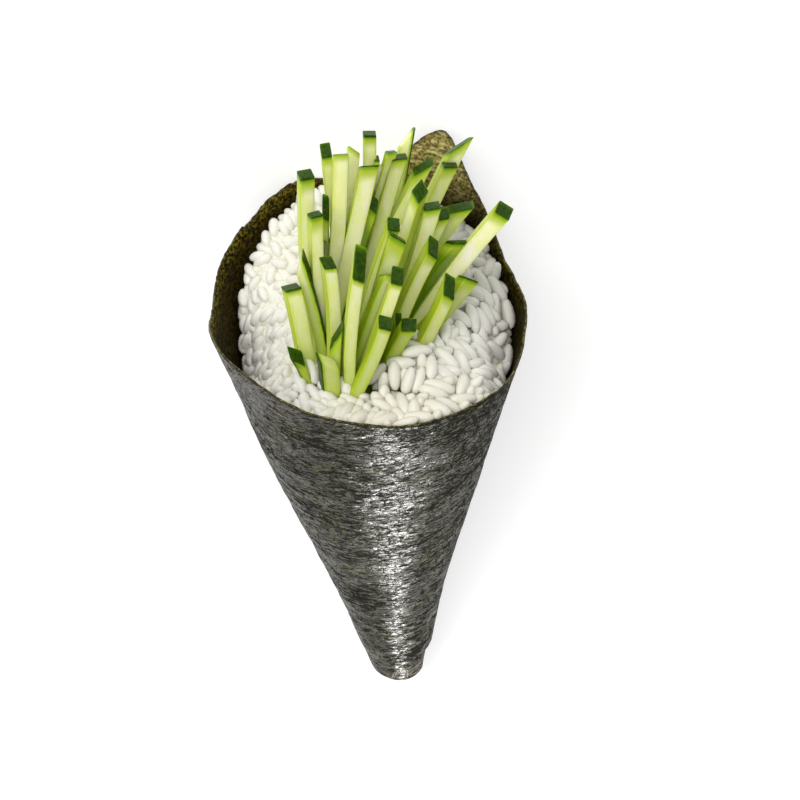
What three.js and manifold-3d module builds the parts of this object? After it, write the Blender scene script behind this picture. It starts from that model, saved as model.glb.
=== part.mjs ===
// A temaki hand roll lying on its back: a cone of nori round sushi rice, with a bundle of
// cucumber sticks standing out of its mouth.
//
// Millimetres. The roll is built upright: the cone's apex is the origin, its axis is +Z from
// tip to mouth, and the side that shows faces -Y. A point of the cone is given by its angle
// round the axis, from the front towards +X, and its slant, the distance from the apex.
// The group at the end lays it down, mouth towards -Y, on a flat spot pressed into its back.

import * as THREE from "three";
import { mergeVertices } from "three/addons/utils/BufferGeometryUtils.js";
import Module from "manifold-3d";

const wasm = await Module();
wasm.setup();

const { degToRad, radToDeg, smoothstep } = THREE.MathUtils;

// Driving dimensions
const mouthRadius = 31;
const mouthHeight = 109.4;
const tipSlant = 14.9; // where the blunt tip starts
const tipRound = 1.2;
const tipRadius = 3.3;
const tipShift = 0.8; // to the right and to the front, as a share of the tip's bulge
const noriThickness = 0.6;
const gap = 0.3; // between neighbours
const flatDepth = 0.8; // how far the back is pressed flat
const restSlant = 80; // the point of the back that lies on the origin
const slackDepth = 0.5; // how far the right side is drawn in, halfway up
const push = { from: 85, out: 0.4, in: 1.3, angle: degToRad(72) }; // of the mouth's front corners
const ripple = { wide: 0.25, narrow: 0.15 };

const seamAngle = degToRad(-135); // the sheet's outer edge, down the back
const seamStep = 0.5;
const seamSweep = degToRad(60);

const riceDepth = noriThickness + gap + 0.4; // of the rice's core below the nori's outer face
const riceBottomSlant = 21;
const riceMiddleHeight = 110;
const riceRise = 0.2; // the rice lies higher towards the back
const grain = { length: 6.7, width: 2.7, height: 2.4, lift: 0.6, droop: degToRad(25) };
const grainPlaces = 175;

const plantHeight = 105; // the sticks' feet are given at this height
const plantDepth = 6; // and reach this far below it
const stickDepth = 2.8;
const footTaper = 0.85;
const bundleCore = { x: -2, y: -7, radiusX: 13, radiusY: 15, bottom: 84, top: 103 };

const noriSegments = 60;
const riceSegments = 40;

const halfAngle = Math.atan(mouthRadius / mouthHeight);
const sinCone = Math.sin(halfAngle);
const cosCone = Math.cos(halfAngle);
const up = new THREE.Vector3(0, -cosCone, sinCone); // away from the table, once it lies down

// Slants round the cone, by angle in degrees: the sheet's wavy rim with its corner standing up
// at the back, and the edge of the rice, which draws back from the nori at both sides.
const rim = roundOutline([
  [-180, 124.2],
  [-157, 125.4],
  [-130, 120.4],
  [-101, 115.6],
  [-75, 119.3],
  [-44, 120],
  [-20, 116.8],
  [10, 113.6],
  [40, 111.4],
  [64, 109.8],
  [92, 112.6],
  [117, 114.4],
  [132, 121.5],
  [141, 127],
  [150, 134.8],
  [160, 131.8],
  [167, 126],
]);
const riceEdge = roundOutline([
  [-180, 122],
  [-150, 120],
  [-128, 114],
  [-108, 105],
  [-88, 98],
  [-68, 105],
  [-48, 111],
  [0, 111.5],
  [35, 109.5],
  [60, 103],
  [90, 97],
  [112, 108],
  [140, 115],
]);

// Each stick: its foot's x and y, its lean to the right and to the back in degrees, its length
// and width, how much higher its slanted end is at the back and at the right, and its turn.
const sticks = [
  // front row
  [-8.5, -19, 0.5, 2, 12, 2.6, -2.5, 0, 15],
  [-5.5, -19.5, 24.5, 5.5, 21, 2.6, 1.4, 0, 0],
  [-5, -17.5, 8, 8, 31, 2.5, 7, -1.2, 5],
  [-11.5, -17, -14, 4, 12, 1.3, 7, -1, 0],
  [-7.5, -16, 5, 5, 15, 2.2, 2, 4, -10],
  [-4, -15.5, 22, 8.5, 27.5, 2.4, 2.8, 0, 0],
  [-5, -14.5, 20.5, 9, 26.5, 2, -2.2, 0, 10],
  [1.5, -14, 24.5, 5.5, 14.5, 2.7, 1.4, 0.6, 5],
  [-12.5, -13.5, -4, 9, 23.5, 3.2, -0.3, -0.3, 22],
  [-8, -13.5, 2.5, 8, 28.5, 2.5, 1.2, -0.3, 18],
  // second row
  [0.5, -12, 22.5, 5.5, 14, 1.3, 6, 0, 10],
  [-9, -11, -6.5, 9, 26.5, 2.4, 4.5, -2.5, -25],
  [-4.5, -10.5, 19, 10.5, 33.5, 2.4, 1.6, 0, 4],
  [6.5, -10, 28, 8, 20.5, 2.3, 4.5, -1, 10],
  [-10, -9.5, 2.5, 9, 36, 2.4, -0.5, 0.3, 14],
  [-9.5, -8, 3, 9, 19, 1.2, 8, 0, 0],
  [2.5, -8, 24, 10, 27.5, 2.5, 1.6, -1.5, 24],
  [8.5, -8, 30, 8.5, 7, 1.2, 1, 0, 0],
  // third row
  [-5, -7.5, 25, 11, 30, 3.6, 1.2, -2, 0],
  [0.5, -7, 43, 11, 40.5, 3.3, 1.6, 0, -12],
  [-10, -6, 17, 11.5, 43.5, 3.3, -1.6, 0.4, 0],
  [5, -6, 43, 8, 22, 3, -1.6, 0.3, 8],
  [-11, -5, 2, 8, 42, 2.8, 0.3, 0, 14],
  [-9, -4, 9, 10, 44.5, 2.5, -1.2, 0.3, 0],
  [2.5, -4, 21, 13, 32.5, 3.1, 0.1, 1.2, 5],
  [-9, -3.5, 20.5, 10.5, 34.5, 2.3, 4, -2, -5],
  [2, -3, 39.5, 11.5, 27, 3.6, -1.7, 2, 8],
  [-10.5, -2, 8, 8, 32.5, 1.5, 5, 0, -5],
  [-10.5, -1, 34.5, 12.5, 44, 2.8, 0.3, 2, 0],
  [3, -1, 27.5, 13.5, 29, 1.8, 1, 1, 0],
  // back row
  [-4, -0.5, 18, 12.5, 41, 2.8, -0.2, 0.8, 0],
  [-7, 0, 19.5, 11.5, 42.5, 1.8, -1, 0.6, 0],
  [-2.5, 0, -4, 9, 43, 2, 1.5, 0, 6],
  [-5, 1, 7.5, 11, 42, 2.3, -1.6, 0, 0],
  [0.5, 1, 22, 15, 33, 2.8, 3.2, -4, 8],
  [2, 1, 35.5, 14, 31, 3.6, 0.3, 2.6, 0],
  [-7.5, 2, 19, 10.5, 38.5, 1.8, -1.5, 0, 0],
  [-1, 3, 5.5, 11, 43, 2.5, -0.3, 0, 0],
  [-1, 3.5, 16, 13.5, 41.5, 2.4, -1, 4.4, 0],
  [3.5, 4, 25.5, 16.5, 35.5, 2.6, 0.1, 0.8, 0],
  [1.5, 6, 29.5, 16, 39.5, 2.9, -1.4, 3.6, 0],
];

// A smooth closed outline through [angle in degrees, slant] points, as a function of the angle.
function roundOutline(points) {
  const closed = [...points, [points[0][0] + 360, points[0][1]]];
  const curve = new THREE.CubicInterpolant(
    closed.map(([angle]) => angle),
    closed.map(([, slant]) => slant),
    1,
  );
  curve.settings = { endingStart: THREE.WrapAroundEnding, endingEnd: THREE.WrapAroundEnding };
  return (angle) => curve.evaluate(radToDeg(angle))[0];
}

// A seeded generator of numbers from 0 to 1 (mulberry32).
function seededRandom(seed) {
  let state = seed;
  return () => {
    state = (state + 0x6d2b79f5) | 0;
    let t = Math.imul(state ^ (state >>> 15), 1 | state);
    t = (t + Math.imul(t ^ (t >>> 7), 61 | t)) ^ t;
    return ((t ^ (t >>> 14)) >>> 0) / 2 ** 32;
  };
}

// The solid of a closed geometry, and the geometry of a solid.
function solidOf(geometry) {
  const bare = geometry.clone();
  bare.deleteAttribute("normal");
  bare.deleteAttribute("uv");
  const merged = mergeVertices(bare, 1e-4);
  return new wasm.Manifold(
    new wasm.Mesh({
      numProp: 3,
      vertProperties: new Float32Array(merged.attributes.position.array),
      triVerts: new Uint32Array(merged.index.array),
    }),
  );
}

function geometryOf(solid) {
  const { vertProperties, triVerts } = solid.getMesh();
  const geometry = new THREE.BufferGeometry();
  geometry.setAttribute("position", new THREE.BufferAttribute(vertProperties, 3));
  geometry.setIndex(new THREE.BufferAttribute(triVerts, 1));
  return geometry;
}

// The one large body of a solid, without loose scraps and with its sealed hollows filled.
function mainBody(solid) {
  return solid.decompose().reduce((a, b) => (a.volume() > b.volume() ? a : b));
}

// A closed geometry through rings of points round the axis. Each ring is a function from angle
// to point; the first and the last are the poles.
function ringGeometry(rings, segments) {
  const last = rings.length - 1;
  const profile = rings.map((_, row) => new THREE.Vector2(row % last ? 1 : 0, row));
  const geometry = new THREE.LatheGeometry(profile, segments);
  const { position } = geometry.attributes;
  for (let i = 0; i < position.count; i++) {
    const angle = Math.atan2(position.getX(i), position.getZ(i));
    const point = rings[Math.round(position.getY(i))](angle);
    position.setXYZ(i, point.x, point.y, point.z);
  }
  return geometry;
}

// A point in or on the nori, at a depth below its outer face. The tip is blunt and a little
// off the axis, the right side is slack, the mouth is pushed in at the front left and out at
// the front right, the wall ripples slightly, and the back is pressed flat.
function wallPoint(angle, slant, depth) {
  const cone = slant * sinCone;
  const bulge = Math.hypot(cone, tipRadius) - cone;
  const waist = Math.sin((Math.PI * slant) / mouthHeight);
  const slack = slackDepth * Math.max(0, Math.sin(angle)) * waist;
  const pushed = push.out * lobe(angle - push.angle) - push.in * lobe(angle + push.angle);
  const waves =
    ripple.wide * Math.sin(3 * angle + slant / 17) + ripple.narrow * Math.sin(8 * angle - slant / 9);
  const radius =
    cone
    + bulge
    - slack
    + pushed * smoothstep(slant, push.from, mouthHeight)
    + (waves * slant) / mouthHeight
    - depth * cosCone;
  const point = new THREE.Vector3(
    radius * Math.sin(angle) + tipShift * bulge,
    -radius * Math.cos(angle) - tipShift * bulge,
    slant * cosCone + depth * sinCone,
  );
  const height = point.dot(up);
  return point.addScaledVector(up, Math.max(0, flatDepth + depth - height));
}

// 1 at the angle 0, falling off smoothly on both sides.
function lobe(angle) {
  return Math.max(0, Math.cos(angle)) ** 4;
}

// How far the sheet's outer end stands out over the turn below it.
function seamHeight(angle) {
  const past = (angle - seamAngle + 2 * Math.PI) % (2 * Math.PI);
  return seamStep * Math.max(0, 1 - past / seamSweep);
}

function noriWrap() {
  const steps = [0, 0.04, 0.12, 0.25, 0.42, 0.62, 0.74, 0.86, 1]; // from tip to rim
  const innerTip = tipSlant + 4;
  const outer = (t) => (angle) =>
    wallPoint(angle, THREE.MathUtils.lerp(tipSlant, rim(angle), t), -seamHeight(angle) * t);
  const inner = (t) => (angle) =>
    wallPoint(angle, THREE.MathUtils.lerp(innerTip, rim(angle), t), noriThickness);
  return ringGeometry([
    () => wallPoint(0, tipSlant - tipRound, tipRadius / cosCone),
    (angle) => wallPoint(angle, tipSlant - tipRound, 1.5 * tipRound),
    ...steps.map(outer),
    ...steps.toReversed().map(inner),
    () => wallPoint(0, innerTip - noriThickness, tipRadius / cosCone),
  ], noriSegments);
}

// The rice's top, at a share of the way from the middle to its edge.
function riceTop(angle, share) {
  const edge = wallPoint(angle, riceEdge(angle), riceDepth);
  const point = edge.clone().multiplyScalar(share);
  const drop = edge.z - (riceMiddleHeight + riceRise * edge.y);
  point.z = riceMiddleHeight + riceRise * point.y + drop * share ** 4;
  return point;
}

function riceCore() {
  const side = (t) => (angle) =>
    wallPoint(angle, THREE.MathUtils.lerp(riceBottomSlant, riceEdge(angle), t), riceDepth);
  return ringGeometry([
    () => new THREE.Vector3(0, 0, riceBottomSlant * cosCone),
    ...[0, 0.35, 0.7, 0.85, 1].map(side),
    ...[0.85, 0.6, 0.3].map((share) => (angle) => riceTop(angle, share)),
    () => riceTop(0, 0),
  ], riceSegments);
}

// The room inside the nori, open far above its mouth, that no grain may leave.
function riceRoom() {
  const side = (slant) => (angle) => wallPoint(angle, slant, noriThickness + gap);
  const bottom = riceBottomSlant - 0.1;
  const top = 135;
  return ringGeometry([
    () => new THREE.Vector3(0, 0, bottom * cosCone),
    ...[bottom, 45, 70, 85, 92, 98, 104, 110, top].map(side),
    () => new THREE.Vector3(0, 0, top),
  ], riceSegments);
}

// Grains laid evenly over the rice's top, on a sunflower spiral. Near the nori they point
// outwards and down, and elsewhere they lie any way.
function riceGrains() {
  const random = seededRandom(7);
  const goldenAngle = Math.PI * (3 - Math.sqrt(5));
  const grains = [];
  for (let i = 0; i < grainPlaces; i++) {
    const share = Math.sqrt((i + 0.5) / grainPlaces) * 0.99;
    const angle = ((i * goldenAngle + Math.PI) % (2 * Math.PI)) - Math.PI;
    const place = riceTop(angle, share);
    const heading = random() * Math.PI;
    const pitch = THREE.MathUtils.lerp(-1, 1, random()) * degToRad(35);
    const size = 0.9 + 0.2 * random();
    if (overBundle(place)) continue;
    const outwards = smoothstep(share, 0.7, 0.95);
    const geometry = new THREE.SphereGeometry(0.5, 5, 4);
    geometry.scale(grain.width * size, grain.length * size, grain.height * size);
    geometry.rotateX(THREE.MathUtils.lerp(pitch, grain.droop, outwards));
    const spread = 0.4 * (heading - Math.PI / 2);
    geometry.rotateZ(THREE.MathUtils.lerp(heading, angle + spread, outwards));
    geometry.translate(place.x, place.y, place.z + grain.lift);
    grains.push(solidOf(geometry));
  }
  return grains;
}

// Whether a place on the rice lies under the bundle's sticks.
function overBundle({ x, y }) {
  const { x: coreX, y: coreY, radiusX, radiusY } = bundleCore;
  return Math.hypot((x - coreX) / (radiusX + 2 * gap), (y - coreY) / (radiusY + 2 * gap)) < 1;
}

// One stick, grown on all sides by a clearance.
function stickGeometry([footX, footY, right, back, length, width, slope, skew, turn], clearance) {
  const stick = new THREE.BoxGeometry(1, 1, 1);
  const { position } = stick.attributes;
  for (let i = 0; i < position.count; i++) {
    const x = position.getX(i);
    const y = position.getY(i);
    const isEnd = position.getZ(i) > 0;
    const taper = isEnd ? 1 : footTaper;
    position.setXYZ(
      i,
      x * (width * taper + 2 * clearance),
      y * (stickDepth * taper + 2 * clearance),
      isEnd ? length + clearance + slope * y + skew * x : -plantDepth,
    );
  }
  stick.rotateZ(degToRad(turn));
  stick.rotateX(-degToRad(back));
  stick.rotateY(degToRad(right));
  stick.translate(footX, footY, plantHeight);
  return stick;
}

// The plug of cucumber that joins the sticks' feet inside the rice, up to a given height.
function bundleCoreGeometry(clearance, top) {
  const { x, y, radiusX, radiusY, bottom } = bundleCore;
  const profile = [
    new THREE.Vector2(0, bottom - clearance),
    new THREE.Vector2(0.6, bottom - clearance),
    new THREE.Vector2(1, bottom + 10),
    new THREE.Vector2(1, top),
    new THREE.Vector2(0, top),
  ];
  const core = new THREE.LatheGeometry(profile, 24);
  core.rotateX(Math.PI / 2);
  core.scale(radiusX + clearance, radiusY + clearance, 1);
  core.translate(x, y, 0);
  return core;
}

function cucumberBundle(clearance, coreTop) {
  const solids = sticks.map((stick) => solidOf(stickGeometry(stick, clearance)));
  return wasm.Manifold.union([solidOf(bundleCoreGeometry(clearance, coreTop)), ...solids]);
}

function riceFilling() {
  const heap = wasm.Manifold.union([solidOf(riceCore()), ...riceGrains()]);
  const well = cucumberBundle(gap, riceMiddleHeight + 4);
  return mainBody(heap.intersect(solidOf(riceRoom())).subtract(well));
}

function named(name, geometry, color, roughness) {
  const material = new THREE.MeshStandardMaterial({ color, roughness, metalness: 0, flatShading: true });
  const mesh = new THREE.Mesh(geometry, material);
  mesh.name = name;
  return mesh;
}

const roll = new THREE.Group();
roll.add(
  named("nori_wrap", noriWrap(), 0x34332c, 0.45),
  named("rice_filling", geometryOf(riceFilling()), 0xe8e6dc, 0.5),
  named("cucumber_bundle", geometryOf(mainBody(cucumberBundle(0, bundleCore.top))), 0xb5c56f, 0.35),
);
roll.rotation.set(Math.PI / 2 - halfAngle, 0, Math.PI);
roll.position.set(0, restSlant, -flatDepth);

const group = new THREE.Group();
group.add(roll);

export default group;
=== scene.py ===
import bmesh
import bpy
import math
import random
from mathutils import Matrix, Vector, kdtree, noise


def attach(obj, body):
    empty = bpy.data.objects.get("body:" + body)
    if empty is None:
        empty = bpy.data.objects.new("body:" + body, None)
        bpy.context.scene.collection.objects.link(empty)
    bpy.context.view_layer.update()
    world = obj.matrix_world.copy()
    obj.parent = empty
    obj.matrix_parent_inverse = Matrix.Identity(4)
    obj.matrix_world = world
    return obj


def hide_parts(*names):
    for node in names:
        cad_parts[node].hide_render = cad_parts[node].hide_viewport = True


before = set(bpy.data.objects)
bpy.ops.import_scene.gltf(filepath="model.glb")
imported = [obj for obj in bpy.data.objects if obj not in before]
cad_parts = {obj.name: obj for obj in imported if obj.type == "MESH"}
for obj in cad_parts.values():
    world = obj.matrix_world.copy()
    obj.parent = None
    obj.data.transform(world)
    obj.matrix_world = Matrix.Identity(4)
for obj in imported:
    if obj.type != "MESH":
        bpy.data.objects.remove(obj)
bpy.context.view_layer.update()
print("frame loaded:", ", ".join(sorted(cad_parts)))

# Everything is modelled in millimetres, as a cone that stands on its tip with its axis up and
# its shown side towards -Y. layDown puts it on its back, in metres, where the frame has it.
# A place on the cone is an angle round the axis, 0 at the shown side, and a slant, the distance
# from the apex. A band is a pair of values: where something starts and where it is complete.
cone = {
    "mouthRadius": 31,
    "mouthHeight": 109.4,
    "tipSlant": 14.9,
    "tipRadius": 3.3,
    "tipShift": 0.8,
    "restSlant": 80,
    "flatDepth": 0.8,
    "slack": 0.5,
    "pushFrom": 85,
    "pushOut": 0.4,
    "pushIn": 1.3,
    "pushAngle": math.radians(72),
    # height, waves round the cone, slant for a turn of one radian
    "ripples": ((0.25, 3, 17), (0.15, 8, -9)),
}
halfAngle = math.atan2(cone["mouthRadius"], cone["mouthHeight"])
tableUp = Vector((0, -math.cos(halfAngle), math.sin(halfAngle)))
layDown = (
    Matrix.Scale(0.001, 4)
    @ Matrix.Translation((0, cone["restSlant"], -cone["flatDepth"]))
    @ Matrix.Rotation(math.pi / 2 - halfAngle, 4, "X")
    @ Matrix.Rotation(math.pi, 4, "Z")
)


def lerp(a, b, t):
    return a + (b - a) * t


def smoothstep(low, high, x):
    t = min(max((x - low) / (high - low), 0), 1)
    return t * t * (3 - 2 * t)


def roundOutline(points):  # a smooth closed curve through points of (degrees, slant)
    before = (points[-1][0] - 360, points[-1][1])
    after = [(turn + 360, slant) for turn, slant in points[:2]]
    knots = [before, *points, *after]
    slopes = [(b[1] - a[1]) / (b[0] - a[0]) for a, b in zip(knots, knots[1:])]

    def slantAt(angle):
        turn = (math.degrees(angle) - points[0][0]) % 360 + points[0][0]
        i = max(k for k in range(1, len(points) + 1) if knots[k][0] <= turn)
        (start, low), (end, high) = knots[i], knots[i + 1]
        span = end - start
        p = (turn - start) / span
        leave = (slopes[i - 1] + slopes[i]) / 2 * span
        arrive = (slopes[i] + slopes[i + 1]) / 2 * span
        rise = p * p * (3 - 2 * p)
        return lerp(low, high, rise) + p * (1 - p) * ((1 - p) * leave - p * arrive)

    return slantAt


def lobe(angle):  # a soft bulge to one side
    return max(0, math.cos(angle)) ** 4


def wallPoint(angle, slant, depth):  # a place in the nori, at a depth below its outer face
    straight = slant * math.sin(halfAngle)
    bulge = math.hypot(straight, cone["tipRadius"]) - straight
    waist = math.sin(math.pi * slant / cone["mouthHeight"])
    slack = cone["slack"] * max(0, math.sin(angle)) * waist
    pushed = cone["pushOut"] * lobe(angle - cone["pushAngle"])
    pushed -= cone["pushIn"] * lobe(angle + cone["pushAngle"])
    waves = 0
    for ripple, count, pitch in cone["ripples"]:
        waves += ripple * math.sin(count * angle + slant / pitch)
    radius = straight + bulge - slack - depth * math.cos(halfAngle)
    radius += pushed * smoothstep(cone["pushFrom"], cone["mouthHeight"], slant)
    radius += waves * slant / cone["mouthHeight"]
    point = Vector((
        radius * math.sin(angle) + cone["tipShift"] * bulge,
        -radius * math.cos(angle) - cone["tipShift"] * bulge,
        slant * math.cos(halfAngle) + depth * math.sin(halfAngle),
    ))
    height = point.dot(tableUp)
    return point + tableUp * max(0, cone["flatDepth"] + depth - height)


class Wire:  # a socket whose operators add Math nodes
    def __init__(self, look, socket):
        self.look = look
        self.socket = socket

    def __add__(self, other):
        return self.look.maths("ADD", self, other)

    def __radd__(self, other):
        return self.look.maths("ADD", other, self)

    def __sub__(self, other):
        return self.look.maths("SUBTRACT", self, other)

    def __rsub__(self, other):
        return self.look.maths("SUBTRACT", other, self)

    def __mul__(self, other):
        return self.look.maths("MULTIPLY", self, other)

    def __rmul__(self, other):
        return self.look.maths("MULTIPLY", other, self)

    def __truediv__(self, other):
        return self.look.maths("DIVIDE", self, other)

    def __rtruediv__(self, other):
        return self.look.maths("DIVIDE", other, self)

    def __pow__(self, power):
        return self.look.maths("POWER", self, power)

    def __rpow__(self, base):
        return self.look.maths("POWER", base, self)

    def ramp(self, low, high):  # 0 below low, 1 above high, smooth between
        smooth = {"interpolation_type": "SMOOTHSTEP"}
        values = {"Value": self, "From Min": low, "From Max": high}
        return self.look.node("MapRange", smooth, values)


class Finish:  # one material and the nodes that make it
    def __init__(self, name, constants):
        self.material = bpy.data.materials.new(name)
        self.material.use_nodes = True
        self.tree = self.material.node_tree
        self.shader = self.tree.nodes["Principled BSDF"]
        self.feed(constants)

    def plug(self, sockets, values):  # a wire is linked, a number or a colour is set
        for name, value in values.items():
            if isinstance(value, Wire):
                self.tree.links.new(value.socket, sockets[name])
            elif sockets[name].type == "RGBA":
                sockets[name].default_value = (*value, 1)
            else:
                sockets[name].default_value = value

    def node(self, kind, settings, values, output=0):
        node = self.tree.nodes.new("ShaderNode" + kind)
        for name, setting in settings.items():
            setattr(node, name, setting)
        self.plug(node.inputs, values)
        return Wire(self, node.outputs[output])

    def feed(self, values):
        self.plug(self.shader.inputs, values)
        return self.material

    def maths(self, operation, *values):
        return self.node("Math", {"operation": operation}, dict(enumerate(values)))

    def vectorMaths(self, operation, a, b, output="Vector"):
        return self.node("VectorMath", {"operation": operation}, {0: a, 1: b}, output)

    def mix(self, share, a, b):
        return self.node("Mix", {"data_type": "RGBA"}, {0: share, 6: a, 7: b}, output=2)

    def place(self):
        return self.node("TexCoord", {}, {}, output="Object")

    def axis(self, where, name):
        return self.node("SeparateXYZ", {}, {"Vector": where}, output=name)

    def attribute(self, name):
        return self.node("Attribute", {"attribute_name": name}, {}, output="Fac")

    def noise(self, where, scale, detail=3, roughness=0.5, distortion=0, output=0):
        return self.node("TexNoise", {}, {
            "Vector": where, "Scale": scale, "Detail": detail, "Roughness": roughness,
            "Distortion": distortion,
        }, output)

    def stretched(self, scale):  # object coordinates, turned so that Y runs along the cone
        turn = {"Vector": self.place(), "Rotation": (-halfAngle, 0, 0), "Scale": scale}
        return self.node("Mapping", {"vector_type": "TEXTURE"}, turn)

    def cells(self, where, scale):  # how far a place is from the edge of its cell
        edges = {"feature": "DISTANCE_TO_EDGE"}
        return self.node("TexVoronoi", edges, {"Vector": where, "Scale": scale})

    def facets(self, where, scale, slope):  # heights in mm, each cell a flat that leans its own way
        cell = self.node("TexVoronoi", {}, {"Vector": where, "Scale": scale}, output="Color")
        middle = Wire(self, cell.socket.node.outputs["Position"])
        lean = self.vectorMaths("SUBTRACT", cell, (0.5, 0.5, 0.5))
        offset = self.vectorMaths("SUBTRACT", where, middle)
        return self.vectorMaths("DOT_PRODUCT", lean, offset, output="Value") * (slope * 1000)

    def bump(self, height):  # height in millimetres
        return self.node("Bump", {}, {"Height": height, "Distance": 0.001, "Strength": 1})

    def matt(self, share, tone):  # a share of the surface without any shine
        flat = {"Base Color": tone, "Roughness": 1, "Specular IOR Level": 0}
        dullAndShade = self.node("BsdfPrincipled", {}, flat)
        shiny = Wire(self, self.shader.outputs[0])
        both = self.node("MixShader", {}, {0: share, 1: shiny, 2: dullAndShade})
        self.plug(self.tree.nodes["Material Output"].inputs, {"Surface": both})


def finishPiece(name, bm, material, node, smooth=True):
    bmesh.ops.transform(bm, matrix=layDown, verts=bm.verts)
    mesh = bpy.data.meshes.new(name)
    bm.to_mesh(mesh)
    bm.free()
    mesh.polygons.foreach_set("use_smooth", [smooth] * len(mesh.polygons))
    mesh.materials.append(material)
    piece = bpy.data.objects.new(name, mesh)
    bpy.context.scene.collection.objects.link(piece)
    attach(piece, "root")
    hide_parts(node)
    print("made", name, "with", len(mesh.polygons), "faces")


def closeSeams(bm):
    bmesh.ops.remove_doubles(bm, verts=bm.verts, dist=0.0005)
    bmesh.ops.recalc_face_normals(bm, faces=bm.faces)


def addTo(whole, bm):  # moves one finished form into the mesh of its piece
    part = bpy.data.meshes.new("part")
    bm.to_mesh(part)
    bm.free()
    whole.from_mesh(part)
    bpy.data.meshes.remove(part)


nori = {
    "thickness": 0.55,
    "columns": 320,
    "outerRows": 185,
    "tipRows": 8,
    "rimRows": 3,
    "innerRows": 42,
    # the rim, as degrees round the cone and slant, with the corner of the sheet at 150
    "rim": [
        (-180, 124.2), (-157, 125.4), (-130, 120.4), (-101, 115.6), (-75, 119.3),
        (-44, 120), (-20, 116.8), (10, 113.6), (40, 111.4), (64, 109.8),
        (92, 112.6), (117, 114.4), (132, 121.5), (141, 127), (150, 134.8),
        (160, 131.8), (167, 126),
    ],
    "ragged": 0.5,
    "raggedWaves": ((0.6, 9, 3), (0.55, 38, 8)),  # share, how fine, seed
    "rimSwell": 0.12,
    # the outer edge of the sheet, a step down the back that fades round the cone
    "seamAngle": math.radians(-135),
    "seamStep": 0.5,
    "seamSweep": math.radians(60),
    "wrinkle": 0.17,
    "wrinkleSize": (9, 3, 0),  # round the cone, along it, shift
    "crease": 0.18,
    "creaseSize": (3.2, 1.3, 40),
    "smoothTip": 0.05,
    # near the tip the outer turn ends in a fold, over the turns below
    "foldSlant": 15.5,
    "foldRises": ((5.5, -25, 5), (1.5, 20, 70)),  # rise, from and to which degree
    "foldEdge": 0.7,  # the slant that its edge takes up
    "foldHeight": 0.55,
    "foldSink": 0.25,
    "foldBand": (22, 45),  # slants over which it thins out
    "tipTurns": 2.5,
    "tipDome": 0.9,
    "tipStep": 0.5,
    "tipLift": 0.2,
    # the inner face goes down to a slant, and then closes at a point inside the rice
    "innerSlant": 84,
    "innerShare": 0.93,
    "closing": (0.95, 0.05),  # from which share of the rows, over what share
    "closeSlant": 25,
    "closePoint": (0.3, -0.4, 24),
    # where the corner that stands up gets painted light on its inner face, over its own mottle,
    # fading out lower down: height of the rim, degrees, slant
    "tabRimBand": (117, 126),
    "tabTurnBand": (100, 118),
    "tabBand": (118, 130),
    "shineTone": (1, 0.97, 0.88),
    "outerTones": ((0.007, 0.0066, 0.0035), (0.046, 0.042, 0.021)),
    "fleckTone": (0.12, 0.125, 0.012),
    "innerTones": ((0.008, 0.006, 0.001), (0.05, 0.036, 0.006)),
    "innerShade": (0.006, 0.005, 0.0015),
    "innerPale": (0.24, 0.18, 0.012),
    "tabLitTones": ((0.10, 0.078, 0.025), (0.44, 0.36, 0.115)),
    "tabGlintTone": (0.6, 0.54, 0.25),
    "rimTones": ((0.02, 0.018, 0.003), (0.22, 0.18, 0.02)),
    "foldTone": (0.2, 0.17, 0.09),
    # tone where the nori doesn't shine: its own dull spots and painted shade
    "dullAndShadeTone": (0.010, 0.010, 0.007),
}
rimOutline = roundOutline(nori["rim"])


def ringNoise(point, wide, tall, shift):
    return noise.noise(Vector((point.x / wide, point.y / wide, point.z / tall + shift)))


def noriRelief(point):  # wrinkles and sharper creases that run round the cone
    wrinkle = ringNoise(point, *nori["wrinkleSize"])
    crease = ringNoise(point, *nori["creaseSize"])
    return nori["wrinkle"] * wrinkle - nori["crease"] * abs(crease)


def raggedRim(angle):
    rough = 0
    for share, fine, seed in nori["raggedWaves"]:
        place = Vector((math.sin(angle) * fine, math.cos(angle) * fine, seed))
        rough += share * noise.noise(place)
    return rimOutline(angle) + nori["ragged"] * rough


def degreesFromFront(angle):
    return math.degrees((angle + math.pi) % (2 * math.pi) - math.pi)


def litTabShare(angle, top):  # 1 in the corner that stands up, 0 elsewhere
    turned = smoothstep(*nori["tabTurnBand"], degreesFromFront(angle))
    return smoothstep(*nori["tabRimBand"], top) * turned


def seamPlace(column):  # the angle of a column, and how far it stands off for the seam
    last = nori["columns"] - 1
    if column > last:
        return nori["seamAngle"], nori["seamStep"]
    angle = nori["seamAngle"] + 2 * math.pi * column / last
    past = (angle - nori["seamAngle"]) % (2 * math.pi)
    step = nori["seamStep"] * max(0, 1 - past / nori["seamSweep"])
    return angle, step if column < last else 0


def foldAmount(angle, slant):  # 1 below the fold at the tip, 0 above it
    edge = nori["foldSlant"]
    for rise, start, end in nori["foldRises"]:
        edge += rise * smoothstep(start, end, degreesFromFront(angle))
    return 1 - smoothstep(0, nori["foldEdge"], slant - edge)


def standOff(point, distance):  # moves a place away from the axis
    return point + (point - Vector((0, 0, point.z))).normalized() * distance


def tipPlace(angle, share):  # the rolled end, turn in turn
    spiral = (angle / (2 * math.pi) + nori["tipTurns"] * share) % 1
    radius = share ** 0.8
    edge = wallPoint(angle, cone["tipSlant"], 0)
    middle = wallPoint(0, cone["tipSlant"], cone["tipRadius"] / math.cos(halfAngle))
    place = middle.lerp(edge, radius)
    place.z -= (
        nori["tipDome"] * (1 - radius ** 3)
        + (nori["tipStep"] * spiral - nori["tipLift"]) * (1 - radius ** 6)
    )
    return place


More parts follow.
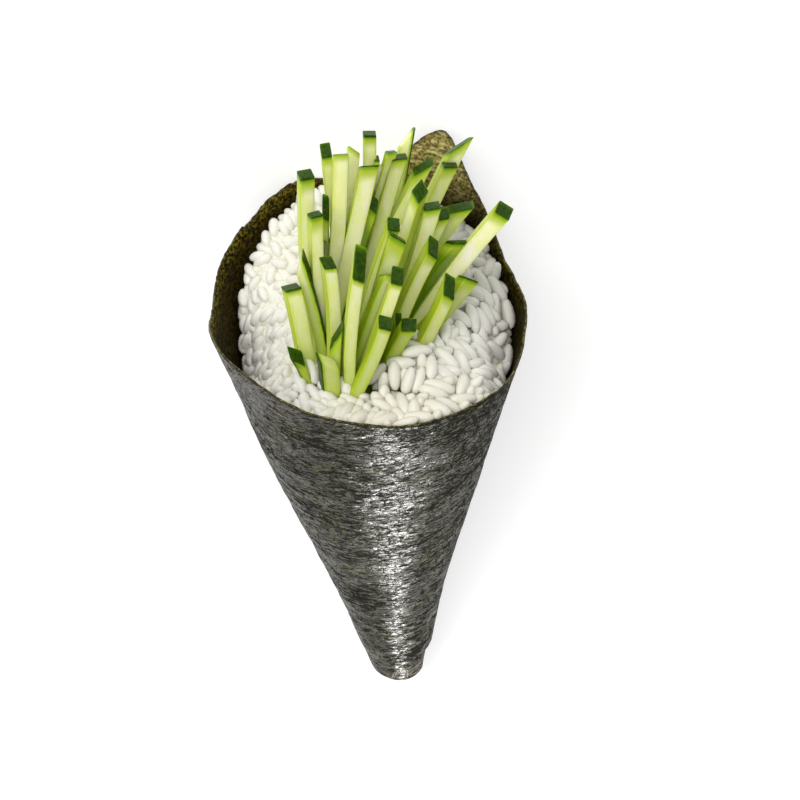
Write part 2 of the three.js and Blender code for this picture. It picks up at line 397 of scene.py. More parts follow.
def outerPlace(angle, slant, under, share, lap):
    point = wallPoint(angle, slant, 0)
    relief = noriRelief(point) * smoothstep(0, nori["smoothTip"], share)
    fold = nori["foldHeight"] * (1 - under) * (1 - smoothstep(*nori["foldBand"], slant))
    return standOff(point, relief + fold - nori["foldSink"] * under + lap * share)


def innerPlace(angle, top, past, lap):  # over the rim and down inside, and its slant
    edge = nori["rimRows"] + 1
    low = nori["innerSlant"]
    slant = top
    depth = nori["thickness"] * min(past / edge, 1)
    swell = nori["rimSwell"] * math.sin(math.pi * past / edge) if past < edge else 0
    if past >= edge:
        share = (past - nori["rimRows"]) / (nori["innerRows"] + 1)
        start, span = nori["closing"]
        slant = lerp(top, low, min(share / nori["innerShare"], 1))
        if share > start:
            slant = lerp(low, nori["closeSlant"], (share - start) / span)
    point = wallPoint(angle, slant, depth)
    place = standOff(point, noriRelief(point) + lap * (slant > low))
    place.z += swell
    if past == edge + nori["innerRows"]:
        place = Vector(nori["closePoint"])
    return place, slant


def noriWrap():
    tip = nori["tipRows"]
    outer = nori["outerRows"]
    rim = nori["rimRows"] + 1
    rows = tip + outer + rim + nori["innerRows"]
    bm = bmesh.new()
    layers = [bm.verts.layers.float.new(name) for name in ("side", "fromRim", "folded", "litTab")]
    bmesh.ops.create_grid(bm, x_segments=nori["columns"], y_segments=rows, size=1)
    for vert in bm.verts:
        angle, lap = seamPlace(round((vert.co.x + 1) / 2 * nori["columns"]))
        row = round((vert.co.y + 1) / 2 * rows)
        top = raggedRim(angle)
        litTab = litTabShare(angle, top)
        if row < tip:
            place = tipPlace(angle, row / tip)
            values = (0, 100, 1, litTab)
        elif row <= tip + outer:
            share = (row - tip) / outer
            slant = lerp(cone["tipSlant"], top, share)
            under = foldAmount(angle, slant)
            place = outerPlace(angle, slant, under, share, lap)
            values = (0, top - slant, under, litTab)
        else:
            past = row - tip - outer
            place, slant = innerPlace(angle, top, past, lap)
            # the painted light fades out lower down the inner face
            litTab *= smoothstep(*nori["tabBand"], slant)
            values = (min(past / rim, 1), top - slant, 0, litTab)
        below = max(0, cone["flatDepth"] - place.dot(tableUp))
        vert.co = place + tableUp * below  # nothing goes into the table
        for layer, value in zip(layers, values):
            vert[layer] = value
    closeSeams(bm)
    finishPiece("noriSheet", bm, noriFinish(), "nori_wrap")


def noriFinish():
    look = Finish("noriFinish", {
        "IOR": 1.46, "Specular IOR Level": 0.35, "Specular Tint": nori["shineTone"],
    })
    # patterns, most of them drawn out round the cone
    ringed = look.stretched((1, 0.5, 1))
    banded = look.stretched((1, 0.28, 1))
    streaked = look.stretched((1, 0.26, 1))
    broad = look.noise(ringed, 210, detail=3, roughness=0.55)
    clouds = look.noise(ringed, 70, detail=3, roughness=0.6)
    fibre = look.noise(ringed, 1300, detail=4, roughness=0.7)
    bands = look.noise(banded, 500, detail=4, roughness=0.7)
    dashes = look.noise(streaked, 250, detail=4, roughness=0.6, distortion=0.6)
    flecks = look.noise(ringed, 620, detail=2)
    patches = look.noise(look.stretched((1, 0.8, 1)), 1300, detail=4, roughness=0.75)
    jitter = look.noise(ringed, 600, detail=2, output="Color")
    bent = look.mix(0.0012, ringed, jitter)
    groove = 1 - look.cells(bent, 460).ramp(0, 0.11)
    pit = 1 - look.cells(bent, 1000).ramp(0, 0.16)
    # where each tone goes
    side = look.attribute("side")
    inside = side.ramp(0.6, 1)
    edge = side.ramp(0.02, 0.2) * (1 - side.ramp(0.8, 0.98))
    toRight = 1 - look.axis(ringed, "X").ramp(-0.025, 0)
    # painted shade towards the right side: there the inner face is darker and less pale, and the
    # outer face duller
    nearRim = 1 - look.attribute("fromRim").ramp(0.3, 4)
    pale = patches.ramp(0.46, 0.6) * nearRim * (0.7 - toRight * 0.45)
    # tones
    outerTone = look.mix(broad.ramp(0.35, 0.65), *nori["outerTones"])
    outerTone = look.mix(flecks.ramp(0.63, 0.72) * 0.8, outerTone, nori["fleckTone"])
    innerTone = look.mix(patches.ramp(0.42, 0.62), *nori["innerTones"])
    innerTone = look.mix(toRight * 0.55, innerTone, nori["innerShade"])
    innerTone = look.mix(pale, innerTone, nori["innerPale"])
    # painted light on the inner face of the corner that stands up: its own mottle, lightened
    tabLitTone = look.mix(patches.ramp(0.42, 0.6), *nori["tabLitTones"])
    # painted glints on that corner
    tabLitTone = look.mix(flecks.ramp(0.52, 0.66), tabLitTone, nori["tabGlintTone"])
    innerTone = look.mix(look.attribute("litTab"), innerTone, tabLitTone)
    tone = look.mix(inside, outerTone, innerTone)
    rimTone = look.mix(patches.ramp(0.48, 0.62), *nori["rimTones"])
    tone = look.mix(edge, tone, rimTone)
    under = look.attribute("folded") * patches.ramp(0.45, 0.62) * 0.5
    tone = look.mix(under, tone, nori["foldTone"])
    # relief, and where the surface doesn't shine: partly the nori's own dull spots, partly painted
    # shade in its grooves, pits and wrinkles and on the right side
    relief = look.facets(bent, 280, 0.18) + look.facets(bent, 560, 0.13)
    relief = relief + look.facets(bent, 1100, 0.1)
    relief = relief + broad * 0.16 + fibre * 0.04 - groove * 0.03
    rough = 0.26 + fibre.ramp(0.3, 0.7) * 0.14 + inside * 0.15
    dullAndShade = groove * 0.5 + pit * 0.4 + (bands + (clouds - 0.5) * 0.5).ramp(0.5, 0.62) * 0.65
    dullAndShade = dullAndShade + dashes.ramp(0.54, 0.64) * 0.62 + toRight * 0.3
    share = dullAndShade.ramp(0.15, 0.85) * 0.93 * (1 - inside) * (1 - edge) + inside * 0.8
    look.matt(share, look.mix(inside, nori["dullAndShadeTone"], innerTone))
    return look.feed({"Base Color": tone, "Roughness": rough, "Normal": look.bump(relief)})


rice = {
    "depth": nori["thickness"] + 0.75,  # below the outer face of the nori
    "middleHeight": 110,
    "rise": 0.2,
    "bottomSlant": 21,
    # the edge of the heap, as degrees round the cone and slant
    "edge": [
        (-180, 122), (-150, 120), (-128, 114), (-108, 105), (-88, 98), (-68, 105), (-48, 111),
        (0, 111.5), (35, 109.5), (60, 103.5), (80, 99.5), (98, 106), (114, 110.5), (140, 115),
    ],
    "edgeBand": (0.85, 1),  # as shares of the way to an edge, as the next is
    "steepTo": 1.05,
    "backRise": 3.2,
    "mounds": ((7, -14, 4, 6.5), (-13.5, -15.5, 3.2, 5)),  # x, y, height, radius
    "looseBand": (-0.5, 0.3),
    "looseFront": 0.6,
    # where the sticks stand, an oval that the rice leaves free
    "bundleMiddle": (-2, -7),
    "bundleRadius": (13, 15),
    "clear": 0.96,
    "clearOnMound": 0.72,
    # the core under the grains
    "coreColumns": 96,
    "coreSideRows": 12,
    "coreTopRows": 26,
    "coreDrop": 1.6,
    "coreDropLeft": 0.35,
    "coreSink": 5,
    "coreLump": 0.5,
    "coreLumpSize": 2.2,
    # painted shade in the gaps between grains: on the core under loose rice, near the edge, and the
    # share of it where the rice is pressed
    "coreGapShade": 2.4,
    "edgeGapShade": 1.5,
    "pressedGapShade": 0.5,
    # one grain
    "length": 6,
    "pressedLength": 0.8,
    "width": 2.4,
    "height": 2.2,
    "plump": 1.07,
    "short": 0.96,
    "blunt": 2.4,
    "bend": 0.1,
    "arch": 3,
    "taper": 0.12,
    "sizes": (0.9, 1.06),
    "looseSizes": (0.9, 1.08),  # pressed, loose
    # how the grains are dealt out, in layers over the heap and rings along its edge
    "layers": (200, 220, 200),
    "layerRise": 1.5,
    "layerStart": -1.2,
    "layerTurn": 1.7,
    "pressedRise": 0.5,
    "outwardBand": (0.7, 0.95),
    "outward": 0.8,
    "reach": 0.93,
    "rings": (80, 76),
    "ringRise": 1.6,
    "ringStart": -0.6,
    "ringOutward": 0.85,
    "gaps": 0.5,
    "pitch": 0.9,
    "standTilt": -0.35,
    "standSpread": (1.1, 0.6),  # left, right
    "standLeast": 0.4,
    "uprightWay": (0.66, 0.75),
    # how they settle; each pair is for pressed and for loose rice
    "settleSteps": 45,
    "settleFall": 0.05,
    "closeness": (0.63, 0.88),
    "settleDrop": (1.1, 1.7),
    "ceiling": (-0.05, 1.2),
    "pushGrain": 0.5,
    "pushFixed": 0.8,
    "damping": 0.8,
    "wallGap": 0.65,
    "stickRises": (-2, -0.5, 1, 2.5, 4, 5.5, 7),
    # painted shade in the gaps between grains, warmer and darker
    "gapShadeTone": (0.84, 0.775, 0.57),
    "tones": ((0.85, 0.84, 0.79), (0.80, 0.79, 0.72)),
    # painted shade on the grains at the front of the heap
    "frontShadeTone": (0.74, 0.71, 0.60),
    "shadeTone": (0.42, 0.41, 0.36),
    # grains given one by one: x, y, rise above the heap, turn from upright in degrees
    "placed": [
        (-11.7, -15.7, 1.2, -14), (-5.3, -18.2, 1.1, -20), (-10.8, -23.1, 0.9, -60),
        (0.6, -15.9, 1.2, 50), (4.1, -17.6, 1.2, 0), (12.4, -19.6, 1, -70),
        (18.5, -17.2, 0.9, 55), (23, 8.4, 0.9, -25), (25.4, 11.4, 0.8, 20),
        (24.8, 4.7, 0.3, 5), (1.5, -23.6, 0.9, -50), (6.6, -19, 1.1, 20), (7.3, -26, 0.7, 0),
    ],
    "seed": 11,
}
riceOutline = roundOutline(rice["edge"])
riceEdges = [
    wallPoint(math.radians(turn), riceOutline(math.radians(turn)), rice["depth"])
    for turn in range(360)
]


def flatLength(point):
    return math.hypot(point.x, point.y)


def flatWay(angle):
    return Vector((math.sin(angle), -math.cos(angle), 0))


def edgeAt(angle):
    return riceEdges[round(math.degrees(angle)) % 360]


def edgeTowards(point):
    return edgeAt(math.atan2(point.x, -point.y))


def moundRise(point):
    rise = 0
    for x, y, height, radius in rice["mounds"]:
        rise += height * math.exp(-((point.x - x) ** 2 + (point.y - y) ** 2) / radius ** 2)
    return rise


def heapPlace(point):  # share of the way to the edge of the rice, and the height of the heap
    edge = edgeTowards(point)
    share = flatLength(point) / flatLength(edge)
    drop = edge.z - (rice["middleHeight"] + rice["rise"] * edge.y)
    height = rice["middleHeight"] + rice["rise"] * point.y
    height += drop * min(share, rice["steepTo"]) ** 4
    back = max(0, point.y / max(flatLength(point), 1)) ** 3
    height += rice["backRise"] * back * min(share, 1) ** 2
    return share, height + moundRise(point) * (1 - smoothstep(*rice["edgeBand"], share))


def isLoose(point):  # 0 on the left and at the back, where the rice is pressed, 1 elsewhere
    loose = (point.x - rice["looseFront"] * point.y) / max(flatLength(point), 1)
    return smoothstep(*rice["looseBand"], loose)


def overBundle(point):  # 1 on the outline of the bundle
    middleX, middleY = rice["bundleMiddle"]
    radiusX, radiusY = rice["bundleRadius"]
    return math.hypot((point.x - middleX) / radiusX, (point.y - middleY) / radiusY)


def keepInWall(point, inset):  # pulls a place in to the wall of the cone
    edge = edgeTowards(point)
    limit = flatLength(edge) + rice["wallGap"] - inset
    limit += (point.z - edge.z) * math.tan(halfAngle)
    if flatLength(point) > limit:
        point.xy = point.xy * (limit / flatLength(point))


def corePlace(angle, row, rows):  # from the bottom up the side, then in over the top
    top = riceOutline(angle) - rice["coreDrop"]
    if row == 0:
        return Vector((0, 0, rice["bottomSlant"] * math.cos(halfAngle)))
    if row <= rice["coreSideRows"]:
        share = (row - 1) / (rice["coreSideRows"] - 1)
        return wallPoint(angle, lerp(rice["bottomSlant"], top, share), rice["depth"])
    share = (rows - row) / (rice["coreTopRows"] + 1)
    place = wallPoint(angle, top, rice["depth"]) * share
    drop = lerp(rice["coreDropLeft"], rice["coreDrop"], isLoose(place))
    lump = rice["coreLump"] * noise.noise(place / rice["coreLumpSize"])
    place.z = heapPlace(place)[1] - drop + lump
    place.z -= rice["coreSink"] * (1 - smoothstep(*rice["edgeBand"], overBundle(place)))
    return place


def riceCore():
    rows = rice["coreSideRows"] + rice["coreTopRows"] + 1
    bm = bmesh.new()
    gapShade = bm.verts.layers.float.new("gapShade")
    bmesh.ops.create_grid(bm, x_segments=rice["coreColumns"], y_segments=rows, size=1)
    for vert in bm.verts:
        row = round((vert.co.y + 1) / 2 * rows)
        vert.co = corePlace(math.pi * (vert.co.x + 1), row, rows)
        # painted shade on the core where it shows between loose grains
        vert[gapShade] = rice["coreGapShade"] * isLoose(vert.co)
    closeSeams(bm)
    finishPiece("riceCore", bm, riceFinish("riceCoreFinish"), "rice_filling")


def grainStarts(draw):  # angle, share of the way to the edge, rise, how far it points outwards
    golden = math.pi * (3 - math.sqrt(5))
    starts = []
    for layer, places in enumerate(rice["layers"]):
        rise = layer * rice["layerRise"] + rice["layerStart"]
        for i in range(places):
            share = math.sqrt((i + 0.5) / places) * rice["reach"]
            angle = i * golden + layer * rice["layerTurn"]
            if layer == 2 and draw.random() < rice["gaps"] * isLoose(flatWay(angle)):
                continue
            outward = smoothstep(*rice["outwardBand"], share) * rice["outward"]
            starts.append((angle, share, rise, outward))
    for layer, places in enumerate(rice["rings"]):
        rise = layer * rice["ringRise"] + rice["ringStart"]
        for i in range(places):
            angle = 2 * math.pi * i / places + layer
            starts.append((angle, rice["reach"], rise, rice["ringOutward"]))
    return starts


def uprightWay(tilt):  # a direction square to the sight line, tilted from upright
    back, up = rice["uprightWay"]
    return Vector((math.sin(tilt), math.cos(tilt) * back, math.cos(tilt) * up))


def grainWay(place, heading, outward, rise, draw):  # lifts it to the heap, gives its direction
    loose = isLoose(place)
    flat = flatWay(heading)
    before, after = place - flat, place + flat
    place.z = heapPlace(place)[1] + rise * lerp(rice["pressedRise"], 1, loose)
    way = Vector((flat.x * 2, flat.y * 2, heapPlace(after)[1] - heapPlace(before)[1]))
    way.z += draw.uniform(-rice["pitch"], rice["pitch"]) * (1 - outward)
    toRight = max(0, place.x / max(flatLength(place), 1))
    spread = lerp(*rice["standSpread"], toRight)
    tilt = draw.uniform(-spread, spread) + rice["standTilt"] * toRight
    stand = loose * draw.uniform(rice["standLeast"], 1)
    return way.normalized().lerp(uprightWay(tilt), stand).normalized()


def grainBalls(middle, way):  # a grain as three balls in a row
    step = way * ((rice["length"] - rice["width"]) / 2)
    return [middle - step, middle, middle + step]


def dealtBalls(draw):  # the grains of the layers and rings, where they start
    balls = []
    for angle, share, rise, outward in grainStarts(draw):
        place = edgeAt(angle) * share
        clear = rice["clearOnMound"] if moundRise(place) > 1 else rice["clear"]
        if overBundle(place) < clear:
            continue
        turn = draw.uniform(0, 2 * math.pi)
        heading = lerp(turn, angle % (2 * math.pi), outward * (1 - isLoose(place)))
        balls += grainBalls(place, grainWay(place, heading, outward, rise, draw))
    return balls


def placedBalls():  # the grains given one by one
    balls = []
    for x, y, rise, turn in rice["placed"]:
        middle = Vector((x, y, 0))
        middle.z = heapPlace(middle)[1] + rise
        end = grainBalls(middle, uprightWay(math.radians(turn)))[2]
        balls += [middle * 2 - end, middle, end]
    return balls


def stickBalls():  # places along the feet of the sticks, which the grains lie against
    balls = []
    for footX, footY, right, back, *others in cucumber["sticks"]:
        lean = stickLean(footX, footY, right, back, 0)
        balls += [lean @ Vector((0, 0, rise)) for rise in rice["stickRises"]]
    return balls


def settledBall(tree, ball, i, count):  # pushed by its neighbours, and kept near the heap
    loose = isLoose(ball)
    shift = Vector((0, 0, -rice["settleFall"]))
    gap = rice["width"] * lerp(*rice["closeness"], loose)
    for other, j, distance in tree.find_range(ball, rice["width"] * rice["closeness"][1]):
        if j // 3 != i // 3 and 0 < distance < gap:
            push = rice["pushGrain"] if j < count else rice["pushFixed"]
            shift += (ball - other) * ((gap - distance) / distance * push)
    ball = ball + shift * rice["damping"]
    loose = isLoose(ball)
    height = heapPlace(ball)[1]
    lowest = height - lerp(*rice["settleDrop"], loose)
    highest = height + lerp(*rice["ceiling"], loose)
    ball.z = min(max(ball.z, lowest), highest)
    keepInWall(ball, rice["width"] / 2)
    return ball


def settledGrains(draw):  # the middle and one end of each grain, once they are moved apart
    balls = dealtBalls(draw)
    placed = placedBalls()
    fixed = stickBalls() + placed[1::3] + placed[2::3] + placed[0::3]
    for step in range(rice["settleSteps"]):
        tree = kdtree.KDTree(len(balls) + len(fixed))
        for i, ball in enumerate(balls + fixed):
            tree.insert(ball, i)
        tree.balance()
        moved = [settledBall(tree, ball, i, len(balls)) for i, ball in enumerate(balls)]
        balls = []
        for start, middle, end in zip(moved[0::3], moved[1::3], moved[2::3]):
            balls += grainBalls((start + middle + end) / 3, (end - start).normalized())
    balls += placed
    return list(zip(balls[1::3], balls[2::3]))


def riceGrain(middle, end, draw):
    bm = bmesh.new()
    gapShade = bm.verts.layers.float.new("gapShade")
    bmesh.ops.create_uvsphere(bm, u_segments=8, v_segments=7, radius=0.5)
    loose = isLoose(middle)
    size = draw.uniform(*rice["sizes"]) * lerp(*rice["looseSizes"], loose)
    bend = draw.uniform(-rice["bend"], rice["bend"])
    taper = draw.uniform(-rice["taper"], rice["taper"])
    length = rice["length"] * lerp(rice["pressedLength"], 1, loose)
    plump = rice["plump"]
    for vert in bm.verts:
        x, y, z = vert.co
        t = min(abs(2 * z), 0.999)
        full = math.sqrt((1 - t ** rice["blunt"]) / (1 - t ** 2))
        thick = full * (1 + taper * 2 * z)
        arch = bend * (1 - 4 * z * z) * rice["arch"]
        vert.co = Vector((
            x * thick * rice["width"] * plump,
            y * thick * rice["height"] * plump + arch,
            z * length * rice["short"],
        ))
    way = (end - middle).to_track_quat("Z", "Y").to_matrix().to_4x4()
    turn = Matrix.Rotation(draw.uniform(0, 2 * math.pi), 4, "Z")
    lie = Matrix.Translation(middle) @ way @ turn @ Matrix.Scale(size, 4)
    bmesh.ops.transform(bm, matrix=lie, verts=bm.verts)
    for vert in bm.verts:
        share, height = heapPlace(vert.co)
        loose = isLoose(vert.co)
        # painted shade: more the deeper below the heap, less where the rice is pressed, more near
        # the edge
        vert[gapShade] = (height - vert.co.z) * lerp(rice["pressedGapShade"], 1, loose)
        vert[gapShade] += rice["edgeGapShade"] * smoothstep(*rice["edgeBand"], share) * loose
        keepInWall(vert.co, 0)  # flat where it lies against the nori
    return bm


def riceGrains():
    draw = random.Random(rice["seed"])
    grains = settledGrains(draw)
    print("settled", len(grains), "grains")
    whole = bmesh.new()
    for middle, end in grains:
        addTo(whole, riceGrain(middle, end, draw))
    finishPiece("riceGrains", whole, riceFinish("riceGrainFinish"), "rice_filling")


def riceFinish(name):
    look = Finish(name, {"IOR": 1.42})
    where = look.place()
    cloud = look.noise(where, 300, detail=3)
    speck = look.noise(where, 1400, detail=2)
    tone = look.mix(cloud.ramp(0.35, 0.65), *rice["tones"])
    # painted shade, warmer and darker, in the gaps between grains
    tone = look.mix(look.attribute("gapShade").ramp(-0.8, 2.4) * 0.9, tone, rice["gapShadeTone"])
    sideways = look.axis(where, "X")
    height = look.axis(where, "Z")
    # painted shade: the grains at the front of the heap darker and warmer, except on the left
    front = height.ramp(0.034, 0.056) * (1 - sideways.ramp(0.003, 0.015))
    tone = look.mix(front * 0.8, tone, rice["frontShadeTone"])
    shade = (1 - height.ramp(0.018, 0.034)) * (1 - sideways.ramp(-0.02, -0.004))
    tone = look.mix(shade * 0.6, tone, rice["shadeTone"])
    rough = 0.27 + speck.ramp(0.3, 0.7) * 0.13
    grain = look.bump(speck * 0.02 + cloud * 0.1)
    return look.feed({"Base Color": tone, "Roughness": rough, "Normal": grain})


cucumber = {
    "depth": 2.8,
    "plantHeight": 105,
    "plantDepth": 6,
    "footTaper": 0.85,
    "round": 0.2,
    "cuts": 9,
    "bow": 0.8,
    "greenSpread": 0.1,
    # skin that runs down a side: its least thickness, how fast it thins, and its edge
    "sideSkin": 0.3,
    "sideDepth": 1.5,
    "sideEdge": 0.15,
    "heartTones": ((1.0, 0.98, 0.74), (0.92, 0.93, 0.44)),
    "outerTones": ((0.50, 0.62, 0.03), (0.17, 0.30, 0.004)),
    "bandTones": ((0.17, 0.33, 0.004), (0.46, 0.57, 0.04)),
    "skinTones": ((0.018, 0.050, 0.0006), (0.034, 0.088, 0.0012)),
    "seed": 5,
    # foot x, foot y, lean right, lean back, length, width, rise back, rise right, turn,
    # skin at the end, green under it, side with skin, how green the flesh is
    "sticks": [
        # front row
        (-8.5, -19, 0.5, 2, 11.5, 3.6, 0.6, -3.4, 15, 0, 0.6, -1, 0.1),
        (-5.5, -19.5, 24.5, 5.5, 21, 2.6, 1, 0, 0, 0.35, 0.7, 0, 0.2),
        (-5, -17.5, 8, 8, 31, 2.5, 5.6, -1.2, 5, 0.15, 0.4, 0, 0),
        (-11.5, -17, -14, 4, 12, 1.9, 1.6, -2.4, 0, 0.1, 1, -1, 0.5),
        (-7.5, -16, 5, 5, 15, 2.2, 0.6, 4.5, -10, 0.2, 1.2, 0, 0.4),
        (-4, -15.5, 22, 8.5, 27.5, 2.4, 2, 0, 0, 0.25, 0.6, 0, 0.1),
        (-5, -14.5, 20.5, 9, 26.5, 2, -2.2, 0, 10, 0.1, 0.8, 0, 0.5),
        (1.5, -14, 24.5, 5.5, 15.2, 2.7, 1.1, 0.6, 5, 0.3, 1, 0, 0.5),
        (-12.5, -13.5, -4, 9, 23.5, 3.2, -0.3, -0.3, 22, 0.35, 0.8, 0, 0.1),
        (-8, -13.5, 2.5, 8, 28.5, 2.5, 1, -0.3, 18, 0.2, 0.6, 0, 0.1),
        # second row
        (0.5, -12, 22.5, 5.5, 14, 1.3, 3, 0, 10, 0.2, 1, 0, 0.8),
        (-9, -11, -6.5, 9, 27, 2.4, 0.5, 4.4, -5, 0, 0.8, 1, 0.3),
        (-4.5, -9.5, 19.1, 10.5, 33.6, 2.4, 1.2, 0, 4, 0.3, 1.2, 0, 0.1),
        (6.5, -10, 28, 8, 20.5, 2.7, 3.4, -1, 10, 0.15, 0.9, 0, 0.1),
        (-10, -9.5, 2.5, 9, 36, 2.4, -0.5, 0.3, 14, 0.4, 2, 0, 0.2),
        (-9.5, -8, 3, 9, 19, 1.2, 4, 0, 0, 0.2, 1, 0, 1),
        (2.5, -8, 24, 10, 27.5, 2.6, 2.4, -1.2, 10, 0.2, 1.2, 0, 0.1),
        (8.5, -8, 30, 8.5, 8.5, 1.2, 1, 0, 0, 0.3, 0.8, 0, 0.5),
        # third row
        (-3.4, -12.8, 18.1, 9.5, 33.2, 3.4, -0.9, -1.2, -6, 0.35, 2.6, 0, 0.5),
        (5.4, -4.5, 38.8, 11, 36.2, 3.3, 1.6, 0, -12, 0.2, 1.4, 0, -0.25),
        (-10, -6, 17, 11.5, 43.5, 3.3, -1.6, 0.8, 0, 0.25, 1.6, 0, 0.1),
        (5, -6, 43, 8, 22, 3, -1.6, 0.3, 8, 0.35, 1.6, 0, 0.4),
        (-11, -5, 2, 8, 42, 2.8, 0.3, 0, 14, 0.5, 1.9, 0, 0.1),
        (-9.4, -4, 8.8, 10, 44.4, 2.9, -1.2, 0.3, 0, 0, 0.9, 0, -0.1),
        (2.5, -4, 21, 13, 32.5, 3.1, 0.1, 1.2, 5, 0.3, 1.2, 0, 0),
        (-9, -3.5, 19.5, 10.5, 34.8, 3, 1.6, -2, -5, 0.2, 2, 0, 1),
        (2, -3, 39.5, 11.5, 27.6, 3.6, -1.7, 2, 8, 0.6, 1.5, 0, 1),
        (-10.5, -2, 7.3, 8, 32.6, 1.3, 3.4, -0.6, -5, 0.2, 1, 0, 0.5),
        (-10.2, -2.5, 7.1, 8, 25.9, 3.2, -0.5, -1.4, 0, 0, 0.5, 0, 0.7),
        (-10.5, -1, 33.5, 12.5, 43.5, 2.4, 0.2, 3.6, 0, 0.2, 1.4, 0, 0),
        (3, -1, 27.5, 13.5, 29.5, 1.8, 1, 1, 0, 0.3, 1, 0, 0.3),
        # back row
        (-4, -0.5, 18, 12.5, 41, 2.8, -0.2, 0.8, 0, 0.3, 1.2, 0, 0.4),
        (-7, 0, 19.5, 11.5, 42.5, 1.8, -1, 0.6, 0, 0.1, 1.5, 0, 0.4),
        (-2.5, 0, -4, 9, 43, 2, 1.5, 0, 6, 0.4, 1.2, 0, 0.1),
        (-6, 1, 8.2, 11, 41.2, 2.3, -1.6, -1.6, 0, 0.05, 0.6, 0, -0.4),
        (-1.8, -5.2, 22.4, 14, 36.9, 2.2, 1.9, -1.6, -40, 0.2, 1.2, 0, 0.2),
        (1.5, 1, 35.5, 14, 31, 4.4, 0.3, 4, 0, 0.3, 1.2, 0, 0.4),
        (-7.5, 2, 19, 10.5, 38.5, 1.8, -1.5, 0, 0, 0, 0.4, 0, -0.2),
        (-1, 3, 5.5, 11, 43, 2.5, -0.3, 0, 0, 0.5, 1.4, 0, 0),
        (-1, 3.5, 16, 13.5, 41.5, 2.4, -1, 4.4, 0, 0, 0.5, 1, 0),
        (3.5, 4, 25.5, 16.5, 35.5, 2.6, 0.1, 0.8, 0, 0.3, 1.6, 0, 0.2),
        (1.5, 6, 29.5, 16, 39.5, 2.9, -1.4, 4.8, 0, 0.1, 1, 0, 0),
        (-6, 1.5, 15.2, 12, 39.2, 1, 0, 0.3, 0, 0.15, 0.6, 0, 0.6),
    ],
}


def stickLean(footX, footY, right, back, turn):
    return (
        Matrix.Translation((footX, footY, cucumber["plantHeight"]))
        @ Matrix.Rotation(math.radians(right), 4, "Y")
        @ Matrix.Rotation(-math.radians(back), 4, "X")
        @ Matrix.Rotation(math.radians(turn), 4, "Z")
    )


def cucumberStick(row, draw):
    footX, footY, right, back, length, width, slope, skew, turn, skin, band, side, green = row
    depth = cucumber["depth"]
    bm = bmesh.new()
    names = ("below", "faceX", "faceY", "height", "skin", "band", "green")
    layers = [bm.verts.layers.float.new(name) for name in names]
    bmesh.ops.create_cube(bm, size=1)
    for vert in bm.verts:
        x, y, z = vert.co
        taper = 1 if z > 0 else cucumber["footTaper"]
        end = length + slope * y + skew * x if z > 0 else -cucumber["plantDepth"]
        vert.co = Vector((x * width * taper, y * depth * taper, end))
    bmesh.ops.bevel(
        bm, geom=bm.edges[:], offset=cucumber["round"], segments=2, profile=0.5,
        affect="EDGES", material=-1,
    )
    tall = [edge for edge in bm.edges if edge.calc_length() > length / 2]
    bmesh.ops.subdivide_edges(bm, edges=tall, cuts=cucumber["cuts"], use_grid_fill=True)
    grade = Vector((-skew / width, -slope / depth, 1)).length
    bowX = draw.uniform(-1, 1) * cucumber["bow"]
    bowY = draw.uniform(-1, 1) * cucumber["bow"]
    green += draw.uniform(-cucumber["greenSpread"], cucumber["greenSpread"])
    thick = max(skin, cucumber["sideSkin"]) if side else skin
    for vert in bm.verts:
        x, y, z = vert.co
        below = (length + slope * y / depth + skew * x / width - z) / grade
        if side:  # skin down this side, and over the end only where skin says so
            inwards = (width / 2 - side * x) * cucumber["sideDepth"]
            fromSide = skin + inwards - cucumber["sideEdge"]
            below = min(below, fromSide) if skin else fromSide
        values = (below, 2 * x / width, 2 * y / depth, z, thick, band, green)
        for layer, value in zip(layers, values):
            vert[layer] = value
        along = max(z, 0) / length
        bow = along * (1 - along) * 4
        vert.co = Vector((x + bowX * bow, y + bowY * bow, z))
    bmesh.ops.transform(bm, matrix=stickLean(footX, footY, right, back, turn), verts=bm.verts)
    bmesh.ops.recalc_face_normals(bm, faces=bm.faces)
    return bm


def cucumberSticks():
    draw = random.Random(cucumber["seed"])
    whole = bmesh.new()
    for row in cucumber["sticks"]:
        addTo(whole, cucumberStick(row, draw))
    look = cucumberFinish()
    finishPiece("cucumberSticks", whole, look, "cucumber_bundle", smooth=False)


